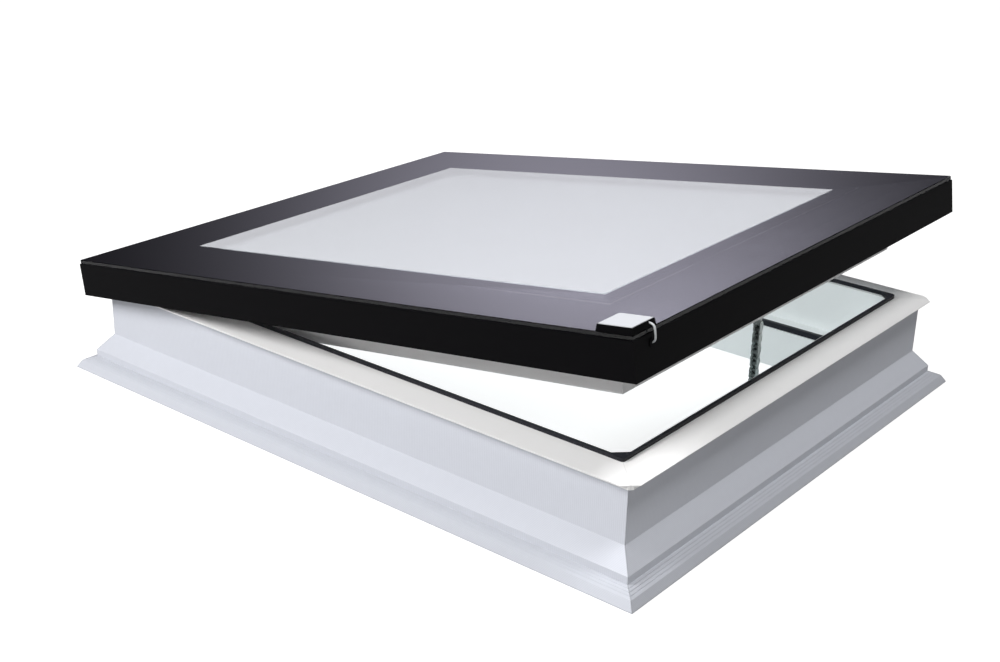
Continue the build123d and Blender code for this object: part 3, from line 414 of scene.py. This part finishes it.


# %% [markdown]
# The upstand is a cool light grey profile with a satin skin. Three things are laid over the grey: the
# fine ribs, which are only just seen, the weld line, a little darker, and painted shade on the flange,
# which makes the foot a little darker than the walls.

# %% Grey profile
grey_weld_strip = 0.9 * mm
grey_weld_color = (0.4, 0.41, 0.45)
# Below this height the flange gets painted shade: its grey is darkened by this share.
flange_height = 19.7 * mm
flange_painted_shade = 0.12
grey_profile = start_finish(
    "grey_profile", (0.58, 0.597, 0.65), depth=0.05, scale=90, roughness=0.42, specular=0.35
)
tree, surface, speckle = open_finish(grey_profile)
ribs = add_node(tree, "ShaderNodeGroup", node_tree=rib_group)
ribbed = scale_color(tree, speckle.outputs["Color"], ribs.outputs["Shade"])
welded = lay_weld(tree, ribbed, grey_weld_strip, grey_weld_color)
# Painted shade: the grey is made darker on the flange.
flange = math_node(tree, "LESS_THAN", axes(tree, coordinates(tree))["Z"], flange_height)
dimming = math_node(tree, "MULTIPLY", flange, flange_painted_shade)
flange_shaded_grey = scale_color(tree, welded, math_node(tree, "SUBTRACT", 1.0, dimming))
feed(tree, flange_shaded_grey, surface.inputs["Base Color"])
paint(grey_profile, *[f"upstand_{side}" for side in sides])

# %% [markdown]
# The white frame has the same welds, but there the bead is only a hairline, a little darker than the
# white. The sash frame hangs in the shade of the pane. Its white is darker, as painted shade, and its
# welds don't show.

# %% White profiles
frame_color = (0.92, 0.915, 0.91)
frame_weld_strip = 0.6 * mm
frame_weld_dimming = 0.86
frame_weld_color = tuple(frame_weld_dimming * part for part in frame_color)
frame_white = start_finish("frame_white", frame_color, depth=0.03, scale=40, roughness=0.35)
tree, surface, speckle = open_finish(frame_white)
lined = lay_weld(tree, speckle.outputs["Color"], frame_weld_strip, frame_weld_color)
feed(tree, lined, surface.inputs["Base Color"])
paint(frame_white, *[f"frame_{side}" for side in sides])
# Painted shade: the frame's white, made darker for the sash frame in the shade of the pane.
shaded_sash_white = start_finish(
    "shaded_sash_white", (0.74, 0.735, 0.74), depth=0.03, scale=40, roughness=0.35
)
paint(shaded_sash_white, *[f"sash_frame_{side}" for side in sides])

# %% [markdown]
# Powder coat is baked paint with a fine orange peel, so it gets a tight bump and little gloss. The
# rubber, the black mouldings and the print under the glass are all near black too, and only their gloss
# and their grain tell them apart. The print mirrors nothing of its own, because the glass over it does
# that.

# %% Black finishes
black_coat = start_finish(
    "black_coat", (0.0026, 0.0024, 0.003), depth=0.3, scale=400, roughness=0.5, bump=0.1 * mm,
    specular=0.06,
)
paint(black_coat, "sensor_housing", "lead_grommet", *[f"sash_cover_{side}" for side in sides])
black_rubber = start_finish(
    "black_rubber", (0.012, 0.013, 0.018), depth=0.3, scale=200, roughness=0.6
)
paint(black_rubber, "lip_seal", "ledge_seal", "glazing_seal", "cable_inlet",
      "edge_sealant", "glazing_tape")
black_moulding = start_finish(
    "black_moulding", (0.012, 0.012, 0.013), depth=0.2, scale=300, roughness=0.4
)
paint(black_moulding, "drive_end_caps", "drive_gearbox", "chain_magazine")
border_print = start_finish(
    "border_print", (0.004, 0.0038, 0.0048), depth=0.1, scale=20, roughness=0.5, specular=0.0
)
paint(border_print, "printed_border")

# %% [markdown]
# Bright metal, small white mouldings and foam are hidden or small, but each still has its own skin. A
# metal has no colour under its gloss, so it is told apart by full Metallic.

# %% Metals, white mouldings and foam
zinc = start_finish(
    "zinc_plate", (0.5, 0.54, 0.54), depth=0.3, scale=250, roughness=0.38, metallic=1.0
)
paint(zinc, "hinge_frame_leaf_left", "hinge_frame_leaf_right", "hinge_sash_leaf_left",
      "hinge_sash_leaf_right", "hinge_pins", "hinge_frame_screws", "hinge_sash_screws",
      "chain_bracket", "chain_bracket_screws", "chain_pivot_pin", "chain_head", "lift_chain",
      "drive_sprocket", "bearing_plate", "drive_motor", "drive_saddles", "saddle_screws")
mill_aluminium = start_finish(
    "mill_aluminium", (0.7, 0.71, 0.72), depth=0.15, scale=120, roughness=0.35, metallic=1.0
)
paint(mill_aluminium, "glass_spacer_inner", "glass_spacer_outer", "corner_cleats", "drive_housing")
white_moulding = start_finish(
    "white_moulding", (0.57, 0.59, 0.6), depth=0.04, scale=80, roughness=0.25
)
paint(white_moulding, "sensor_plate", "chain_guide", "sensor_lead")
foam = start_finish("insulating_foam", (0.6, 0.62, 0.64), depth=0.3, scale=500, roughness=0.9)
paint(foam, *[f"insulation_{side}" for side in sides])

# %% [markdown]
# Glass lets light through to the well. A lamp's light would be lost in three panes, so for shadow and
# bounce rays the glass is a plain tint, and only what the eye sees is bent and mirrored. The outer pane
# mirrors as real glass does. The two panes below it hardly mirror, or the panel would show three times,
# and the middle one scatters a share of the light, which makes the view through the unit pale.


# %% Glass
def let_lamp_light_through(finish, tint):
    """Makes a finish a plain tint for shadow and bounce rays."""
    tree = finish.node_tree
    surface = tree.nodes["Principled BSDF"]
    passing = add_node(tree, "ShaderNodeBsdfTransparent", Color=(*tint, 1))
    rays = add_node(tree, "ShaderNodeLightPath").outputs
    through = math_node(tree, "MAXIMUM", rays["Is Shadow Ray"], rays["Is Diffuse Ray"])
    choice = add_node(tree, "ShaderNodeMixShader")
    feed(tree, through, choice.inputs[0])
    feed(tree, surface.outputs[0], choice.inputs[1])
    feed(tree, passing.outputs[0], choice.inputs[2])
    feed(tree, choice.outputs[0], tree.nodes["Material Output"].inputs["Surface"])


def glass_finish(name, tint, index, base=None, haze=0.0):
    """Glass that passes lamp light as a tint; haze is the share of what is seen that it scatters."""
    finish = bpy.data.materials.new(name)
    finish.use_nodes = True
    surface = finish.node_tree.nodes["Principled BSDF"]
    surface.inputs["Base Color"].default_value = (*(base or tint), 1)
    surface.inputs["Roughness"].default_value = 0.0
    surface.inputs["IOR"].default_value = index
    surface.inputs["Transmission Weight"].default_value = 1.0 - haze
    let_lamp_light_through(finish, tint)
    return finish


glass_index = 1.5
faint_index = 1.05
outer_glass = glass_finish("outer_glass", (0.94, 0.955, 0.97), glass_index)
paint(outer_glass, "outer_pane")
inner_glass = glass_finish(
    "inner_glass", (0.95, 0.965, 0.96), faint_index, base=(0.6, 0.66, 0.64)
)
paint(inner_glass, "inner_pane")
hazed_glass = glass_finish(
    "hazed_glass", (0.93, 0.94, 0.94), faint_index, base=(0.69, 0.695, 0.7), haze=0.6
)
paint(hazed_glass, "middle_pane")

# %% [markdown]
# What rides on the sash is easiest to place on the sash as it lies shut, level and square. Each point
# is then turned open about the hinges by the angle of the photograph, as the CAD model does it.

# %% Turning a point of the shut sash to its open place
joints = {joint["name"]: Vector(joint["pos_m"]) for joint in frame["joints"]}
hinge_place = joints["sash_hinge"]
open_angle = math.radians(8.947)
sash_side_margin = 15.0 * mm
sash_end_margin = 14.9 * mm
sash_half_width = half_width - sash_side_margin
sash_half_depth = half_depth - sash_end_margin
sash_bottom = 131.6 * mm
opening = (
    Matrix.Translation(hinge_place)
    @ Matrix.Rotation(-open_angle, 4, "X")
    @ Matrix.Translation(-hinge_place)
)


def sash_point(across, out, up):
    """A point given in mm from the near corner: along the front, out from it, and up."""
    return opening @ Vector(
        (across * mm - sash_half_width, -sash_half_depth - out * mm, sash_bottom + up * mm)
    )


print("near corner of the open sash:", [round(part, 4) for part in sash_point(0, 0, 0)])

# %% [markdown]
# The rain sensor's lead is a short white loop from the sensor down into the cover. A curve with a round
# bevel is the natural tool for a lead, because it keeps its thickness in every bend. The route has the
# same points as the CAD solid, and it starts and ends inside the bores, so no cut end shows.

# %% The lead
lead_route = [
    sash_point(37.5, -5, 63.4),
    sash_point(37.5, 4.7, 63.4),
    sash_point(37.9, 5.3, 51.5),
    sash_point(37, 4.7, 39.8),
    sash_point(37, -3, 39.8),
]
lead_radius = 1.35 * mm
lead_curve = bpy.data.curves.new("sensor_lead_loop", "CURVE")
lead_curve.dimensions = "3D"
lead_curve.resolution_u = 16
lead_curve.bevel_depth = lead_radius
lead_curve.bevel_resolution = 5
lead_curve.use_fill_caps = True
line = lead_curve.splines.new("NURBS")
line.points.add(len(lead_route) - 1)
for point, place in zip(line.points, lead_route):
    point.co = (*place, 1)
line.order_u = 3
line.use_endpoint_u = True
lead = bpy.data.objects.new("sensor_lead_loop", lead_curve)
bpy.context.scene.collection.objects.link(lead)
lead_curve.materials.append(white_moulding)
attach(lead, "sash")
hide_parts("sensor_lead")

# %% [markdown]
# The other pieces start as primitives and are shaped in edit mode. An operator works on what is
# selected, so a few helpers select by place, apply an object's place to its mesh, and finish a piece in
# one go.


# %% Helpers for modelling
def apply_place():
    """Puts the place, turn and scale of the selected piece into its mesh."""
    bpy.ops.object.transform_apply(location=True, rotation=True, scale=True)


def select_points(obj, keep):
    """Goes to edit mode and selects the vertices that the test keeps."""
    bpy.ops.object.mode_set(mode="EDIT")
    bpy.ops.mesh.select_mode(type="VERT")
    mesh = bmesh.from_edit_mesh(obj.data)
    for vertex in mesh.verts:
        vertex.select_set(keep(vertex.co))
    mesh.select_flush_mode()
    bmesh.update_edit_mesh(obj.data)


def turn_faces_out():
    """Points all faces outwards and leaves edit mode."""
    bpy.ops.mesh.select_all(action="SELECT")
    bpy.ops.mesh.normals_make_consistent(inside=False)
    bpy.ops.object.mode_set(mode="OBJECT")


def round_edges(obj, width, segments=1, sharper_than=30):
    """Bevels the edges that turn by more than an angle in degrees."""
    edge = obj.modifiers.new("edge", "BEVEL")
    edge.width = width
    edge.segments = segments
    edge.limit_method = "ANGLE"
    edge.angle_limit = math.radians(sharper_than)
    bpy.ops.object.modifier_apply(modifier="edge")


def select_only(*pieces):
    """Selects these pieces alone and makes the first one active."""
    bpy.ops.object.select_all(action="DESELECT")
    for piece in pieces:
        piece.select_set(True)
    bpy.context.view_layer.objects.active = pieces[0]


def join(parts):
    """Joins objects into the first of them."""
    select_only(*parts)
    bpy.ops.object.join()
    return bpy.context.object


def settle(obj, name, finish):
    """Puts the place of a finished piece in its mesh, names it and gives it its finish."""
    select_only(obj)
    apply_place()
    obj.name = name
    obj.data.name = name
    obj.data.materials.clear()
    obj.data.materials.append(finish)
    return obj


# %% [markdown]
# From above the clear glass looks pale and even, while the print beside it mirrors the room. So the
# pane carries a thin coating that scatters daylight and dims the mirror image. It could be part of the
# glass finish, but the print lies under the same pane and must stay dark. So it is a sheet on the pane,
# as large as the clear opening of the print, and its strength is one number.

# %% The coating on the outer pane
film_low, film_high = 58.05 * mm, 58.15 * mm
print_reach = 135.0 * mm
coating_strength = 0.37
coating_tint = (0.95, 0.96, 0.96)
bpy.ops.object.select_all(action="DESELECT")
bpy.ops.mesh.primitive_plane_add(size=1, location=(0, 0, sash_bottom + film_low))
coating = bpy.context.object
coating.scale = (2 * (sash_half_width - print_reach), 2 * (sash_half_depth - print_reach), 1)
apply_place()
bpy.ops.object.mode_set(mode="EDIT")
bpy.ops.mesh.select_all(action="SELECT")
bpy.ops.mesh.extrude_region_move(TRANSFORM_OT_translate={"value": (0, 0, film_high - film_low)})
turn_faces_out()
coating.matrix_world = opening
glass_coating = start_finish(
    "glass_coating", (0.665, 0.67, 0.708), depth=0.02, scale=8, roughness=0.6, bump=0.0,
    specular=0.0,
)
tree, surface, speckle = open_finish(glass_coating)
surface.inputs["Alpha"].default_value = coating_strength
let_lamp_light_through(glass_coating, coating_tint)
coating = settle(coating, "outer_pane_coating", glass_coating)
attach(coating, "sash")
print("coating size:", [round(length / mm) for length in coating.dimensions], "mm")

# %% [markdown]
# The lifting chain is a push chain: pairs of plates on pins, with straight backs that meet, so it can
# stand up and push. An outer and an inner link take turns, and the inner plates fit between the outer
# ones. Its place is read from the CAD chain head and its pivot, so the new chain stands where the solid
# stood.

# %% Chain sizes
chain_pitch = 9.0 * mm
link_count = 17
plate_radius = 4.4 * mm
plate_thick = 1.0 * mm
plate_sides = 20
plate_edge = 0.18 * mm
outer_plate_off = 5.0 * mm
inner_plate_off = 4.0 * mm
inner_plate_share = 0.98
waist_share = 0.1
waist_cuts = (0.3, 0.7)
waist_span = (0.25, 0.75)
pin_length, pin_radius = 11.6 * mm, 1.7 * mm
pin_sides = 16
pin_dome = 0.5 * mm
roller_length, roller_radius = 7.0 * mm, 2.9 * mm
lug_off = 4.4 * mm
lug_thick = 2.2 * mm
lug_gap = 0.3 * mm
lug_edge = 0.3 * mm
head_drop = 9.02 * mm
head_low, head_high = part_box("chain_head")
chain_x = (head_low.x + head_high.x) / 2
chain_y = (head_low.y + head_high.y) / 2
run_top = joints["chain_head_pivot"].z - head_drop

# %% [markdown]
# A plate has two round ends and a narrow waist on its front. It could be drawn as an outline and
# extruded. Here it starts as a cylinder whose lower half is pulled down by one pitch, which gives the
# two round ends at once. Two cuts across it give the points that are then pushed in at the waist.


# %% One plate
def chain_plate(y, radius):
    """A link plate in its place on the y axis, with its upper pin at z = 0."""
    bpy.ops.mesh.primitive_cylinder_add(
        vertices=plate_sides, radius=radius, depth=plate_thick, location=(0, y, 0),
        rotation=(math.pi / 2, 0, 0),
    )
    plate = bpy.context.object
    apply_place()
    select_points(plate, lambda co: co.z < -0.001 * mm)
    bpy.ops.transform.translate(value=(0, 0, -chain_pitch))
    bpy.ops.mesh.select_all(action="SELECT")
    for cut in waist_cuts:
        bpy.ops.mesh.bisect(plane_co=(0, y, -cut * chain_pitch), plane_no=(0, 0, 1))
        bpy.ops.mesh.select_all(action="SELECT")
    waist_high, waist_low = (-share * chain_pitch for share in waist_span)
    select_points(plate, lambda co: waist_low < co.z < waist_high and co.x < 0)
    bpy.ops.transform.translate(value=(waist_share * radius, 0, 0))
    turn_faces_out()
    round_edges(plate, plate_edge)
    return plate


# %% [markdown]
# The pin's heads are riveted, so they are domed. A bevel of two segments rounds the ends of a cylinder,
# and only edges sharper than 60 degrees are taken, so its round side stays. The roller between the
# inner plates is made in the same way, only shorter and thicker. The lug is the straight back of a
# link, which meets the next one's and keeps the chain from folding.


# %% Pin, roller and back
def chain_pin(length, radius):
    """A pin or a roller across the link, with domed ends."""
    bpy.ops.mesh.primitive_cylinder_add(
        vertices=pin_sides, radius=radius, depth=length, rotation=(math.pi / 2, 0, 0)
    )
    pin = bpy.context.object
    apply_place()
    round_edges(pin, pin_dome, segments=2, sharper_than=60)
    return pin


def back_lug(half_length):
    """The straight back of a link, as long as its pair of plates is wide."""
    bpy.ops.mesh.primitive_cube_add(size=1, location=(lug_off, 0, -chain_pitch / 2))
    lug = bpy.context.object
    lug.scale = (lug_thick, 2 * half_length, chain_pitch - lug_gap)
    apply_place()
    round_edges(lug, lug_edge)
    return lug


# %% [markdown]
# An outer link has its plates outside, a pin and a wide back. An inner link has its plates further in,
# a roller and a narrower back. Each is modelled once and joined, because what repeats is copied later.

# %% The two links
outer_link = join([
    chain_plate(outer_plate_off, plate_radius),
    chain_plate(-outer_plate_off, plate_radius),
    chain_pin(pin_length, pin_radius),
    back_lug(outer_plate_off + plate_thick / 2),
])
inner_link = join([
    chain_plate(inner_plate_off, inner_plate_share * plate_radius),
    chain_plate(-inner_plate_off, inner_plate_share * plate_radius),
    chain_pin(roller_length, roller_radius),
    back_lug(inner_plate_off + plate_thick / 2),
])
print("faces of the links:", len(outer_link.data.polygons), len(inner_link.data.polygons))

# %% [markdown]
# Both links are copied down the run in turn. They become one piece, because the whole run rides on
# the frame.

# %% The run of the chain
links = []
for place in range(link_count):
    select_only(outer_link if place % 2 == 0 else inner_link)
    bpy.ops.object.duplicate()
    link = bpy.context.object
    link.location = (chain_x, chain_y, run_top - place * chain_pitch)
    links.append(link)
for pattern in (outer_link, inner_link):
    bpy.data.objects.remove(pattern)
print("links:", len(links))

# %% [markdown]
# The chain is zinc plated, but in the photograph its plates mirror a bright room and the gaps between
# them are almost black. A mirror that small would only be noise, so the finish paints it: broad faces
# light, narrow edges dark, and the rollers in the middle in between.

# %% The finish of the chain
dark_steel = (0.006, 0.008, 0.008, 1.0)
light_steel = (0.8, 0.89, 0.88, 1.0)
broad_normal = 0.7
roller_reach = 3.45 * mm
roller_light = 0.12
chain_steel = start_finish(
    "chain_steel", (0.34, 0.4, 0.39), depth=0.5, scale=350, roughness=0.38, bump=0.3 * mm,
    metallic=0.1,
)
tree, surface, speckle = open_finish(chain_steel)
facing = math_node(tree, "ABSOLUTE", axes(tree, coordinates(tree, "Normal"))["Y"])
broad_face = math_node(tree, "GREATER_THAN", facing, broad_normal)
off_middle = math_node(tree, "SUBTRACT", axes(tree, coordinates(tree))["Y"], chain_y)
off_middle = math_node(tree, "ABSOLUTE", off_middle)
roller = math_node(tree, "LESS_THAN", off_middle, roller_reach)
bright = math_node(tree, "MULTIPLY", roller, roller_light)
bright = math_node(tree, "MAXIMUM", broad_face, bright)
feed(tree, mix(tree, bright, dark_steel, light_steel, "RGBA"), speckle.inputs["Color"])
chain_run = settle(join(links), "chain_run", chain_steel)
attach(chain_run, "frame")
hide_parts("lift_chain")
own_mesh(chain_run)
print("chain faces:", len(chain_run.data.polygons))
